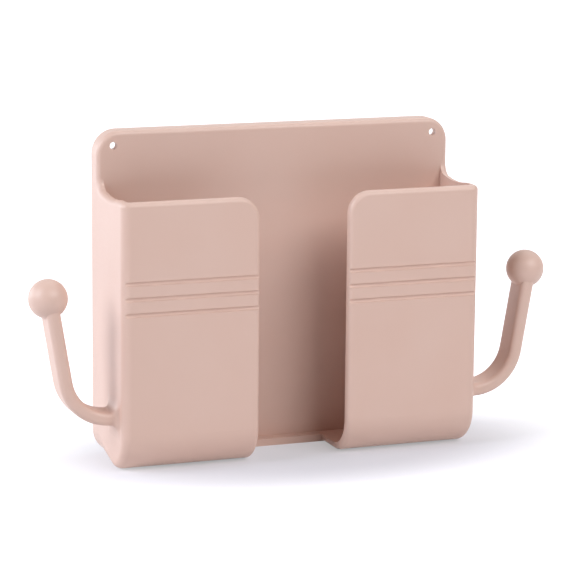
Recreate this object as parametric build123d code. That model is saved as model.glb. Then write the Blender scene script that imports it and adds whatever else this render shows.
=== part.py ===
from build123d import *
from math import cos, radians, sin, sqrt, tan
import os

# Wall phone holder: one moulded shell, a back plate with a two-panel pocket and a ball hook on each side.
# Frame: X across the holder, Y into the wall, Z up. The wall is the plane Y = 0, the base is Z = 0.

# Back plate
body_width = 110.0          # across the plate and the pocket's side walls
plate_rise = 17.2           # plate's top edge above the top of the front panels
plate_depth = 5.4           # wall to the plate's front face, the full depth of its rim
plate_skin = 2.2            # thickness of the plate inside its rim
rim_wall = 1.8              # thickness of the rim that stands on the wall
plate_corner_r = 7.0        # the four corners, seen from the front

# Screw holes in the plate's upper corners
screw_hole_d = 2.2
screw_inset = 5.0           # hole centre in from the plate's side edge
screw_drop = 4.3            # hole centre below the top edge

# Pocket
pocket_depth = 29.8         # wall to the face of the front panels
panel_height = 78.8         # base to the top of the front panels
wall = 2.1                  # front panels, side walls and floor
base_r = 11.0               # outer curve from the front panels into the floor
side_edge_r = 2.5           # outer edges where the panels turn into the side walls
inner_edge_r = 0.5          # the same edges inside the pocket
lip_r = 1.4                 # soft outer edge of the plate, the side walls and the panels

# Top edge of the side walls
crest_back = 6.0            # level run behind the face of the front panels
crest_r = 6.0               # roll-off from the level run into the hollow
hollow_r = 40.0             # long shallow hollow
sweep_r = 3.5               # curve that climbs from the hollow up the plate

# Cable slot between the panels
slot_width = 27.4
slot_corner_r = 6.5         # rounded top corners of the panels beside the slot
slot_ledge = 4.0            # floor left standing in front of the plate

# Grooves across each panel
groove_count = 3
groove_pitch = 4.5
groove_width = 1.3
groove_depth = 0.6
groove_drop = 23.1          # top groove below the panels' top edge

# Ball hooks
hook_margin = 0.3           # flat side wall left between the rounded front edge and the hook's root
hook_width = 9.0            # along Y
hook_thickness = 4.0        # across the strap
hook_edge_r = 1.6
hook_height = 16.0          # base to the middle of the hook's root
hook_lean = 9.6             # degrees that the upright leans outwards
flare_length = 2.0          # along the root, where it spreads into the side wall
flare_rise = 4.0            # spread above and below the strap
flare_side = 1.4            # spread to the front and to the back
ball_d = 11.3
ball_height = 51.4          # base to ball centre
ball_reach = 19.3           # side wall to ball centre

# Places worked out from the sizes above
half_width = body_width / 2
plate_height = panel_height + plate_rise
plate_front_y = -plate_depth
front_y = -pocket_depth
bend_y = front_y + base_r
hook_y = front_y + side_edge_r + hook_margin + flare_side + hook_width / 2
spare = 20.0                # how far a cutting solid runs past the material
tiny = 0.01                 # slack for picking edges by place


def plate_outline(inset):
    """Front outline of the back plate, drawn in by an even inset."""
    outline = RectangleRounded(body_width - 2 * inset, plate_height - 2 * inset, plate_corner_r - inset)
    return Plane.XZ * Pos(0, plate_height / 2) * outline


def back_plate():
    """Rounded plate that reaches from the wall to its front face."""
    return extrude(plate_outline(0), amount=plate_depth)


def meeting_point(centre_a, reach_a, centre_b, reach_b):
    """Upper point that lies at one reach from one centre and at another reach from a second centre."""
    between = centre_b - centre_a
    along = (reach_a ** 2 - reach_b ** 2 + between.length ** 2) / (2 * between.length)
    across = sqrt(reach_a ** 2 - along ** 2)
    direction = between.normalized()
    return centre_a + direction * along + Vector(-direction.Y, direction.X) * across


def pocket_form(inset, edge_r):
    """Form of the pocket, drawn in by an even inset, from the plate to the front and on past the top."""
    side = half_width - inset
    top_z = plate_height + spare
    floor_front = Vector(bend_y, inset)
    panel_low = Vector(front_y + inset, base_r)
    panel_high = Vector(front_y + inset, top_z)
    back_high = Vector(bend_y, top_z)
    edges = [
        RadiusArc(floor_front, panel_low, base_r - inset),
        Line(panel_low, panel_high),
        Line(panel_high, back_high),
        Line(back_high, floor_front),
    ]
    nose = extrude(Plane.YZ * make_face(Wire(edges)), amount=side, both=True)
    sides = [e for e in nose.edges() if abs(abs(e.center().X) - side) < tiny]
    below_top = [e for e in sides if e.center().Z < top_z - tiny]
    nose = fillet([e for e in below_top if e.center().Y < bend_y - tiny], edge_r)
    # Behind the nose, the lower corners open out to the radius of the plate's corners.
    sections = []
    for y, radius in ((bend_y, edge_r), (plate_front_y, plate_corner_r - inset)):
        outline = RectangleRounded(2 * side, top_z - inset, radius)
        sections.append(Pos(0, y, (top_z + inset) / 2) * (Plane.XZ * outline))
    return nose + loft(sections, ruled=True)


def rim_cut():
    """Space over the pocket, down to the top of the panels and the swept top edge of the side walls."""
    top_z = plate_height + spare
    panel_front = Vector(front_y - spare, panel_height)
    crest = Vector(front_y + crest_back, panel_height)
    sweep_top = Vector(plate_front_y, panel_height + sweep_r)
    back_high = Vector(plate_front_y, top_z)
    front_high = Vector(front_y - spare, top_z)
    # The top edge rolls off the level run, dips along the hollow and climbs the plate on the tighter curve.
    crest_centre = crest - Vector(0, crest_r)
    sweep_centre = sweep_top - Vector(sweep_r, 0)
    hollow_centre = meeting_point(crest_centre, crest_r + hollow_r, sweep_centre, hollow_r - sweep_r)
    hollow_front = crest_centre + (hollow_centre - crest_centre) * (crest_r / (crest_r + hollow_r))
    hollow_back = hollow_centre + (sweep_centre - hollow_centre) * (hollow_r / (hollow_r - sweep_r))
    edges = [
        Line(panel_front, crest),
        RadiusArc(crest, hollow_front, crest_r),
        RadiusArc(hollow_front, hollow_back, -hollow_r),
        RadiusArc(hollow_back, sweep_top, -sweep_r),
        Line(sweep_top, back_high),
        Line(back_high, front_high),
        Line(front_high, panel_front),
    ]
    return extrude(Plane.YZ * make_face(Wire(edges)), amount=body_width, both=True)


def cable_slot():
    """Cut between the panels and on through the floor, flared at the top by the panels' round corners."""
    half_slot = slot_width / 2
    half_flare = half_slot + slot_corner_r
    corner_z = panel_height - slot_corner_r
    top_z = panel_height + spare
    edges = [
        Line((-half_slot, -spare), (half_slot, -spare)),
        Line((-half_flare, top_z), (half_flare, top_z)),
    ]
    for side in (-1, 1):
        corner_low = (side * half_slot, corner_z)
        corner_high = (side * half_flare, panel_height)
        edges += [
            Line((side * half_slot, -spare), corner_low),
            RadiusArc(corner_low, corner_high, side * slot_corner_r),
            Line(corner_high, (side * half_flare, top_z)),
        ]
    outline = Pos(0, plate_front_y - slot_ledge, 0) * (Plane.XZ * make_face(Wire(edges)))
    return extrude(outline, amount=pocket_depth)


def soften_lip(shell):
    """Round the unbroken outer edge of the plate, the side walls, the panels and the slot."""
    on_top = [e for e in shell.edges() if abs(e.center().Z - plate_height) < tiny]
    return fillet([e for e in on_top if abs(e.center().Y - plate_front_y) < tiny], lip_r)


def panel_grooves():
    """Shallow round-bottomed grooves across both panels."""
    groove_r = (groove_width ** 2 / 4 + groove_depth ** 2) / (2 * groove_depth)
    rod = Rot(Y=90) * Cylinder(groove_r, body_width + spare)
    axis_y = front_y + groove_depth - groove_r
    top_z = panel_height - groove_drop
    return [Pos(0, axis_y, top_z - i * groove_pitch) * rod for i in range(groove_count)]


def back_recess():
    """Hollow behind the plate, inside the rim that stands on the wall."""
    return extrude(plate_outline(rim_wall), amount=plate_depth - plate_skin)


def screw_holes():
    """Round holes through the plate's skin."""
    hole = Rot(X=90) * Cylinder(screw_hole_d / 2, 2 * plate_depth)
    hole_x = half_width - screw_inset
    hole_z = plate_height - screw_drop
    return [Pos(side * hole_x, plate_front_y, hole_z) * hole for side in (-1, 1)]


def hook_flare():
    """Root of the right-hand hook: the strap's section, spread along a hollow curve into the side wall."""
    sections = []
    for angle in range(90, -1, -30):
        out = flare_length * (1 - sin(radians(angle)))
        spread = 2 - 2 * cos(radians(angle))
        tall = hook_thickness + flare_rise * spread
        outline = RectangleRounded(hook_width + flare_side * spread, tall, hook_edge_r)
        sections.append(Pos(half_width + out, hook_y, hook_height) * (Plane.YZ * outline))
    return loft(sections)


def right_hook():
    """Hook of the right-hand side: flared root, then a strap that bends up and leans out to the ball."""
    turn = 90 - hook_lean
    root = Vector(half_width + flare_length, hook_height)
    ball = Vector(half_width + ball_reach, ball_height)
    corner_x = ball.X - (ball_height - hook_height) * tan(radians(hook_lean))
    bend_r = (corner_x - root.X) / tan(radians(turn / 2))
    bend = JernArc(start=root, tangent=(1, 0), radius=bend_r, arc_size=turn)
    middle = Wire([bend, Line(bend @ 1, ball)])
    outline = Plane.YZ * RectangleRounded(hook_width, hook_thickness, hook_edge_r)
    section = Pos(root.X, hook_y, hook_height) * outline
    strap = sweep(section, path=Pos(0, hook_y, 0) * (Plane.XZ * middle))
    knob = Pos(ball.X, hook_y, ball_height) * Sphere(ball_d / 2)
    return strap + knob + hook_flare()


def holder_body():
    """The whole moulding."""
    shell = back_plate() + (pocket_form(0, side_edge_r) - rim_cut())
    shell = shell - pocket_form(wall, inner_edge_r) - cable_slot()
    shell = soften_lip(shell) - panel_grooves() - back_recess() - screw_holes()
    hook = right_hook()
    return shell + hook + mirror(hook, about=Plane.YZ)


os.makedirs("parts", exist_ok=True)
export_step(holder_body(), "parts/holder_body.step")
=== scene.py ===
"""Wall phone holder: the finish of its moulding and the studio stage that it stands on."""

import math

import bpy
from bpy.props import FloatProperty, FloatVectorProperty, PointerProperty, StringProperty
from mathutils import Matrix, Vector

bl_info = {
    "name": "Wall Phone Holder",
    "version": (1, 0, 0),
    "blender": (4, 5, 0),
    "location": "3D View > Sidebar > Phone Holder",
    "description": "Satin moulded finish and studio stage for a wall phone holder with ball hooks",
    "category": "3D View",
}

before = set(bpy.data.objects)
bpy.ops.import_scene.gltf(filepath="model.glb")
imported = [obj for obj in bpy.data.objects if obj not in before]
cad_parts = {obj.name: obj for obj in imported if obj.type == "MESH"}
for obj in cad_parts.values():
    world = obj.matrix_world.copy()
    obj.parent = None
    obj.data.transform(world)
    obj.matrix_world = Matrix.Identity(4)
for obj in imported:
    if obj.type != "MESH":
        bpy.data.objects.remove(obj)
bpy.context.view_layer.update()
MM = 0.001
WHITE = "#FFFFFF"
FULL_WHITE = 1.0            # strength of a glow that the camera sees as plain white

# Noise in the plastic: broad clouds, a busier grain, and the band where most values of a noise lie
DRIFT_NOISE = {"Detail": 2.0, "Roughness": 0.45}
GRAIN_NOISE = {"Detail": 3.0, "Roughness": 0.6}
NOISE_BAND = {"From Min": 0.3, "From Max": 0.7}

# Sockets of a Mix node that mixes colours, by number because their names are not unique
MIX_FACTOR = 0
MIX_FROM = 6
MIX_TO = 7
MIX_RESULT = 2


def linear(hex_colour):
    """Linear RGBA of an sRGB hex colour such as #E0C0B4."""
    channels = [int(hex_colour.lstrip("#")[i:i + 2], 16) / 255 for i in (0, 2, 4)]
    return [c / 12.92 if c <= 0.04045 else ((c + 0.055) / 1.055) ** 2.4 for c in channels] + [1.0]


def add_node(tree, kind, inputs=None, **settings):
    """Add a node, set its properties, and fill its inputs with values or link them to sockets."""
    node = tree.nodes.new(kind)
    for name, value in settings.items():
        setattr(node, name, value)
    for key, value in (inputs or {}).items():
        if isinstance(value, bpy.types.NodeSocket):
            tree.links.new(value, node.inputs[key])
        else:
            node.inputs[key].default_value = value
    return node


def empty_material(name):
    """A new material with no nodes in it."""
    material = bpy.data.materials.new(name)
    material.use_nodes = True
    material.node_tree.nodes.clear()
    return material


def seen_rays(tree):
    """Socket that is 1 for rays from the camera, off gloss or through clear surfaces, and 0 for others."""
    rays = add_node(tree, "ShaderNodeLightPath").outputs
    seen = rays["Is Camera Ray"]
    for kind in ("Is Glossy Ray", "Is Transmission Ray"):
        seen = add_node(tree, "ShaderNodeMath", {0: seen, 1: rays[kind]}, operation="MAXIMUM").outputs[0]
    return seen


def satin_moulded_abs(look):
    """Satin ABS from a spark-eroded mould: soft broad highlights, a fine grain, a pigment not quite even."""
    material = empty_material("satin_moulded_abs")
    tree = material.node_tree
    place = add_node(tree, "ShaderNodeTexCoord").outputs["Object"]

    # Pigment drifts by a few percent over centimetres, as masterbatch does in the melt.
    drift_scale = 1 / (look.drift_size * MM)
    drift = add_node(tree, "ShaderNodeTexNoise", {"Vector": place, "Scale": drift_scale, **DRIFT_NOISE})
    pigment = add_node(tree, "ShaderNodeMix", {
        MIX_FACTOR: drift.outputs["Fac"],
        MIX_FROM: linear(look.pigment),
        MIX_TO: linear(look.pigment_pale),
    }, data_type="RGBA")

    # The mould's grain is about 0.2 mm; it is drawn coarser, so that it can show at this distance.
    grain_scale = 1 / (look.grain_size * MM)
    grain = add_node(tree, "ShaderNodeTexNoise", {"Vector": place, "Scale": grain_scale, **GRAIN_NOISE})
    rough = add_node(tree, "ShaderNodeMapRange", {
        "Value": grain.outputs["Fac"],
        "To Min": look.roughness - look.roughness_spread,
        "To Max": look.roughness + look.roughness_spread,
        **NOISE_BAND,
    })
    bump = add_node(tree, "ShaderNodeBump", {
        "Height": grain.outputs["Fac"],
        "Strength": look.grain_strength,
        "Distance": look.grain_depth * MM,
    })

    shader = add_node(tree, "ShaderNodeBsdfPrincipled", {
        "Base Color": pigment.outputs[MIX_RESULT],
        "Roughness": rough.outputs["Result"],
        "Normal": bump.outputs["Normal"],
        "IOR": look.refraction,
        "Specular IOR Level": look.gloss,
    })
    add_node(tree, "ShaderNodeOutputMaterial", {"Surface": shader.outputs["BSDF"]})
    return material


def white_sweep(look):
    """Matt white paper floor that shows as white, with a painted glow that keeps the holder's real soft
    shadow near its foot only.
    """
    material = empty_material("white_paper_sweep")
    tree = material.node_tree
    paper = add_node(tree, "ShaderNodeBsdfDiffuse", {"Color": linear(look.paper)})
    shade = add_node(tree, "ShaderNodeBsdfDiffuse", {"Color": linear(look.shadow_tone)})

    # Painted light: the glow seen by the camera and in reflections is dim across an ellipse round the
    # holder's foot, whose edge is at a distance of 1, and rises to full white there, so the real shadow
    # shows near the foot and fades out farther off.
    place = add_node(tree, "ShaderNodeTexCoord").outputs["Object"]
    foot = add_node(tree, "ShaderNodeMapping", {
        "Vector": place,
        "Location": look.foot_middle,
        "Scale": look.foot_reach,
    }, vector_type="TEXTURE")
    away = add_node(tree, "ShaderNodeVectorMath", {0: foot.outputs["Vector"]}, operation="LENGTH")
    painted_glow_strength = add_node(tree, "ShaderNodeMapRange", {
        "Value": away.outputs["Value"],
        "From Min": look.shadow_full,
        "From Max": 1.0,
        "To Min": look.paper_glow,
        "To Max": FULL_WHITE,
    }, interpolation_type="SMOOTHSTEP")
    glow = add_node(tree, "ShaderNodeEmission", {"Color": linear(WHITE), "Strength": painted_glow_strength.outputs["Result"]})
    white = add_node(tree, "ShaderNodeAddShader", {0: shade.outputs[0], 1: glow.outputs[0]})

    surface = add_node(tree, "ShaderNodeMixShader", {
        0: seen_rays(tree),
        1: paper.outputs[0],
        2: white.outputs[0],
    })
    add_node(tree, "ShaderNodeOutputMaterial", {"Surface": surface.outputs[0]})
    return material


class MouldingLook(bpy.types.PropertyGroup):
    """Finish of the one-piece moulding."""
    pigment: StringProperty(
        name="Pigment", description="Main colour of the plastic, as an sRGB hex value", default="#DAB6A7")
    pigment_pale: StringProperty(
        name="Pale pigment", description="Colour that the pigment drifts to, as an sRGB hex value",
        default="#DEBEB1")
    drift_size: FloatProperty(
        name="Drift size", description="Width of the pigment's slow drift, in millimetres",
        default=22.0, min=1.0)
    grain_size: FloatProperty(
        name="Grain size", description="Width of the mould's grain as drawn, in millimetres",
        default=0.6, min=0.05)
    grain_depth: FloatProperty(
        name="Grain depth", description="Height of the grain, in millimetres", default=0.02, min=0.0)
    grain_strength: FloatProperty(
        name="Grain strength", description="Share of the grain's height that shows",
        default=0.3, min=0.0, max=1.0, subtype="FACTOR")
    roughness: FloatProperty(
        name="Roughness", description="Middle roughness of the satin surface",
        default=0.42, min=0.0, max=1.0, subtype="FACTOR")
    roughness_spread: FloatProperty(
        name="Roughness spread", description="How far the roughness swings with the grain",
        default=0.05, min=0.0, max=0.5, subtype="FACTOR")
    refraction: FloatProperty(
        name="Refraction", description="Index of refraction of the plastic", default=1.54, min=1.0)
    gloss: FloatProperty(
        name="Gloss", description="Strength of the surface's reflection, 0.5 for a plain plastic",
        default=0.5, min=0.0, max=1.0, subtype="FACTOR")


class StageLook(bpy.types.PropertyGroup):
    """Paper floor, lamps and camera."""
    paper: StringProperty(
        name="Paper", description="Colour of the paper, as an sRGB hex value", default="#F2F2F4")
    shadow_tone: StringProperty(
        name="Shadow tone", description="Paper colour that carries the shadow in view, as an sRGB hex value",
        default="#A5A2AD")
    # Painted light: paper_glow is the dim glow near the foot, from which the floor's painted white rises.
    paper_glow: FloatProperty(
        name="Paper glow", description="White that the camera sees on the paper besides its shading",
        default=0.37, min=0.0, max=1.0, subtype="FACTOR")
    foot_middle: FloatVectorProperty(
        name="Foot middle", description="Middle of the shadow round the holder's foot",
        default=(0.007, -0.016, 0.0), subtype="TRANSLATION", unit="LENGTH")
    foot_reach: FloatVectorProperty(
        name="Foot reach", description="Half length and half depth of the shadow; the height plays no part",
        default=(0.11, 0.062, 1.0), subtype="TRANSLATION", unit="LENGTH")
    shadow_full: FloatProperty(
        name="Full shadow", description="Share of that reach inside which the shadow is not faded",
        default=0.35, min=0.0, max=1.0, subtype="FACTOR")
    floor_size: FloatProperty(
        name="Floor size", description="Side of the square floor", default=12.0, unit="LENGTH")
    key_place: FloatVectorProperty(
        name="Key place", description="Soft box at the left side, well above the holder",
        default=(-1.18, -0.1, 0.72), subtype="TRANSLATION", unit="LENGTH")
    key_size: FloatVectorProperty(
        name="Key size", description="Width and height of that lamp",
        default=(0.7, 0.8), size=2, unit="LENGTH")
    key_power: FloatProperty(
        name="Key power", description="Strength of that lamp", default=14.0, min=0.0, unit="POWER")
    rim_place: FloatVectorProperty(
        name="Rim place", description="Soft box low behind on the left",
        default=(-0.85, 0.85, 0.25), subtype="TRANSLATION", unit="LENGTH")
    rim_size: FloatVectorProperty(
        name="Rim size", description="Width and height of that lamp",
        default=(0.6, 0.5), size=2, unit="LENGTH")
    rim_power: FloatProperty(
        name="Rim power", description="Strength of that lamp", default=5.2, min=0.0, unit="POWER")
    fill_place: FloatVectorProperty(
        name="Fill place", description="Wide soft box high in front, a little to the right",
        default=(0.5, -1.0, 0.9), subtype="TRANSLATION", unit="LENGTH")
    fill_size: FloatVectorProperty(
        name="Fill size", description="Width and height of that lamp",
        default=(1.2, 0.6), size=2, unit="LENGTH")
    fill_power: FloatProperty(
        name="Fill power", description="Strength of that lamp", default=12.2, min=0.0, unit="POWER")
    top_place: FloatVectorProperty(
        name="Top place", description="Broad soft box overhead, to the right and a little behind",
        default=(0.6, 0.4, 1.3), subtype="TRANSLATION", unit="LENGTH")
    top_size: FloatVectorProperty(
        name="Top size", description="Width and height of that lamp",
        default=(1.2, 1.2), size=2, unit="LENGTH")
    top_power: FloatProperty(
        name="Top power", description="Strength of that lamp", default=6.5, min=0.0, unit="POWER")
    daylight: StringProperty(
        name="Daylight", description="Colour of the key and the rim, as an sRGB hex value",
        default="#F0F7FF")
    plain_light: StringProperty(
        name="Plain light", description="Colour of the other lamps and the sky, as an sRGB hex value",
        default=WHITE)
    lamp_aim: FloatVectorProperty(
        name="Lamp aim", description="Point that the lamps face",
        default=(0.0, 0.0, 0.05), subtype="TRANSLATION", unit="LENGTH")
    sky: FloatProperty(
        name="Sky", description="Even light from all round", default=0.02, min=0.0)
    camera_place: FloatVectorProperty(
        name="Camera place", description="Where the camera stands",
        default=(-0.2751643, -0.7334972, 0.1997475), subtype="TRANSLATION", unit="LENGTH")
    camera_yaw: FloatProperty(
        name="Camera yaw", description="Turn from straight ahead towards the right",
        default=math.radians(21.0806), unit="ROTATION")
    camera_pitch: FloatProperty(
        name="Camera pitch", description="Tilt below the horizon",
        default=math.radians(11.1966), unit="ROTATION")
    camera_roll: FloatProperty(
        name="Camera roll", description="Turn about the line of sight",
        default=math.radians(0.5239), unit="ROTATION")
    camera_lens: FloatProperty(
        name="Camera lens", description="Focal length in millimetres on a 36 mm square frame",
        default=164.36, unit="CAMERA")


class HOLDER_OT_finish_moulding(bpy.types.Operator):
    """Give the one-piece moulding its satin plastic"""
    bl_idname = "holder.finish_moulding"
    bl_label = "Finish Moulding"

    def execute(self, context):
        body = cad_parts["holder_body"]
        body.data.materials.clear()
        body.data.materials.append(satin_moulded_abs(context.scene.holder_moulding))
        return {"FINISHED"}


class HOLDER_OT_set_stage(bpy.types.Operator):
    """Lay the paper floor and set the lamps and the camera"""
    bl_idname = "holder.set_stage"
    bl_label = "Set Stage"

    def execute(self, context):
        look = context.scene.holder_stage
        self.lay_floor(look)
        self.set_sky(context, look)
        self.hang_lamp(look, "key", look.daylight)
        self.hang_lamp(look, "rim", look.daylight)
        self.hang_lamp(look, "fill", look.plain_light)
        self.hang_lamp(look, "top", look.plain_light)
        self.stand_camera(context, look)
        context.scene.view_settings.view_transform = "Standard"
        return {"FINISHED"}

    def lay_floor(self, look):
        """Square of paper under the holder."""
        bpy.ops.object.select_all(action="DESELECT")
        bpy.ops.mesh.primitive_plane_add(size=look.floor_size, location=(0, 0, 0))
        floor = bpy.context.object
        floor.name = "paper_floor"
        floor.data.materials.append(white_sweep(look))

    def set_sky(self, context, look):
        """Faint even light on the holder, with plain white where the sky itself is seen."""
        world = bpy.data.worlds.new("studio_sky")
        world.use_nodes = True
        tree = world.node_tree
        tree.nodes.clear()
        light = add_node(tree, "ShaderNodeBackground", {
            "Color": linear(look.plain_light),
            "Strength": look.sky,
        })
        white = add_node(tree, "ShaderNodeBackground", {"Color": linear(WHITE), "Strength": FULL_WHITE})
        mixed = add_node(tree, "ShaderNodeMixShader", {
            0: seen_rays(tree),
            1: light.outputs[0],
            2: white.outputs[0],
        })
        add_node(tree, "ShaderNodeOutputWorld", {"Surface": mixed.outputs[0]})
        context.scene.world = world

    def hang_lamp(self, look, part, tint):
        """Soft box of that part's place, size and power, turned to face the holder."""
        place = getattr(look, part + "_place")
        bpy.ops.object.light_add(type="AREA", location=place)
        lamp = bpy.context.object
        lamp.name = part + "_lamp"
        lamp.data.shape = "RECTANGLE"
        lamp.data.size, lamp.data.size_y = getattr(look, part + "_size")
        lamp.data.energy = getattr(look, part + "_power")
        lamp.data.color = linear(tint)[:3]
        facing = Vector(look.lamp_aim) - Vector(place)
        lamp.rotation_euler = facing.to_track_quat("-Z", "Y").to_euler()

    def stand_camera(self, context, look):
        """Camera at the photograph's place, turned, tilted and rolled as it was there."""
        bpy.ops.object.camera_add(location=look.camera_place)
        camera = bpy.context.object
        camera.name = "photo_camera"
        camera.data.lens = look.camera_lens
        turn = Matrix.Rotation(-look.camera_yaw, 3, "Z")
        tilt = Matrix.Rotation(math.pi / 2 - look.camera_pitch, 3, "X")
        roll = Matrix.Rotation(look.camera_roll, 3, "Z")
        camera.rotation_euler = (turn @ tilt @ roll).to_euler()
        context.scene.camera = camera


class HOLDER_PT_sidebar(bpy.types.Panel):
    """Sizes and colours of the finish and the stage"""
    bl_idname = "HOLDER_PT_sidebar"
    bl_label = "Wall Phone Holder"
    bl_space_type = "VIEW_3D"
    bl_region_type = "UI"
    bl_category = "Phone Holder"

    def draw(self, context):
        for look, operator in (
                (context.scene.holder_moulding, HOLDER_OT_finish_moulding),
                (context.scene.holder_stage, HOLDER_OT_set_stage)):
            box = self.layout.box()
            for name in look.__annotations__:
                box.prop(look, name)
            box.operator(operator.bl_idname)


CLASSES = (MouldingLook, StageLook, HOLDER_OT_finish_moulding, HOLDER_OT_set_stage, HOLDER_PT_sidebar)


def register():
    for cls in CLASSES:
        bpy.utils.register_class(cls)
    bpy.types.Scene.holder_moulding = PointerProperty(type=MouldingLook)
    bpy.types.Scene.holder_stage = PointerProperty(type=StageLook)


def unregister():
    del bpy.types.Scene.holder_stage
    del bpy.types.Scene.holder_moulding
    for cls in reversed(CLASSES):
        bpy.utils.unregister_class(cls)


def main():
    register()
    bpy.ops.holder.finish_moulding()
    bpy.ops.holder.set_stage()


if __name__ == "__main__":
    main()
